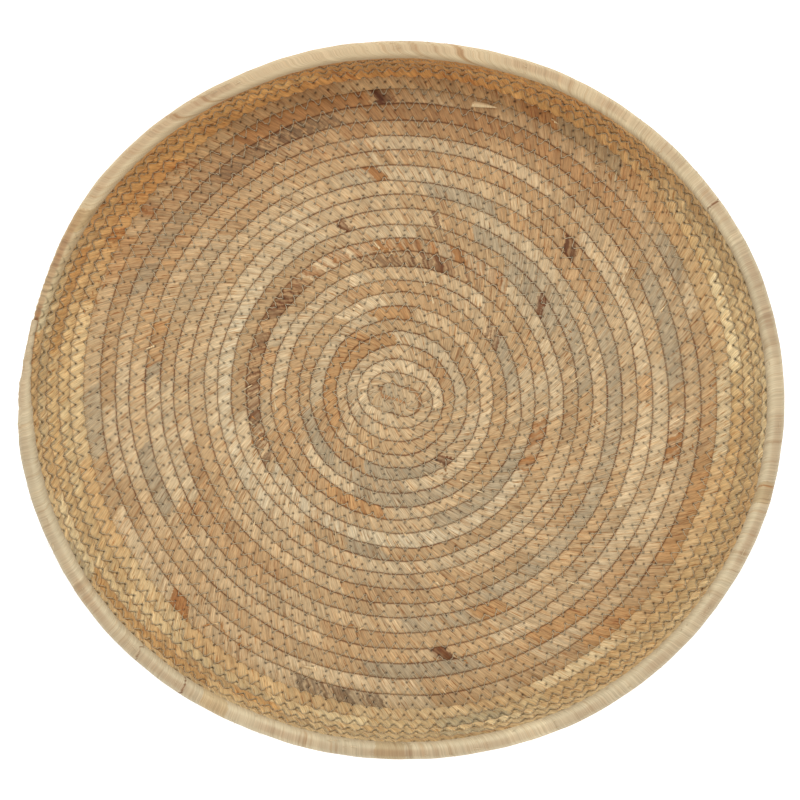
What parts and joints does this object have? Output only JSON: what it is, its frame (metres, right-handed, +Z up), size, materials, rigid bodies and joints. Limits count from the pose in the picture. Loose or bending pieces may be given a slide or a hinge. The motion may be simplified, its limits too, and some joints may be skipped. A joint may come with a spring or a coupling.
{
  "type": "winnowing basket",
  "caption": "Shallow oval winnowing tray coiled from one flat husk cord, sewn turn to turn with zigzag thread, with a low flaring wall and a thick pale rim.",
  "frame": {"origin": "under the middle of the whole basket, on the surface it stands on", "axes": "+Z up out of the bowl, +X along the longer way across the oval, towards the right side seen from above, +Y away from the front"},
  "size_m": [0.4046, 0.377, 0.0495],
  "materials": {
    "husk": "matte dried husk with fine slanted fibres and brown and grey strips",
    "rim_husk": "paler matte dried husk",
    "thread": "thin greyish sewing thread with a slight sheen"
  },
  "bodies": {
    "root": {"cord_start_fold": "husk", "floor_turn_01": "husk", "floor_turn_02": "husk", "floor_turn_03": "husk", "floor_turn_04": "husk", "floor_turn_05": "husk", "floor_turn_06": "husk", "floor_turn_07": "husk", "floor_turn_08": "husk", "floor_turn_09": "husk", "floor_turn_10": "husk", "floor_turn_11": "husk", "floor_turn_12": "husk", "floor_turn_13": "husk", "floor_turn_14": "husk", "floor_turn_15": "husk", "floor_turn_16": "husk", "floor_turn_17": "husk", "floor_turn_18": "husk", "floor_turn_19": "husk", "floor_turn_20": "husk", "floor_turn_21": "husk", "floor_turn_22": "husk", "wall_turn_1": "husk", "wall_turn_2": "husk", "wall_turn_3": "husk", "wall_turn_4": "husk", "rim_turn": "rim_husk", "cord_tail": "rim_husk", "needle_thread": "thread", "bobbin_thread": "thread"}
  },
  "joints": []
}
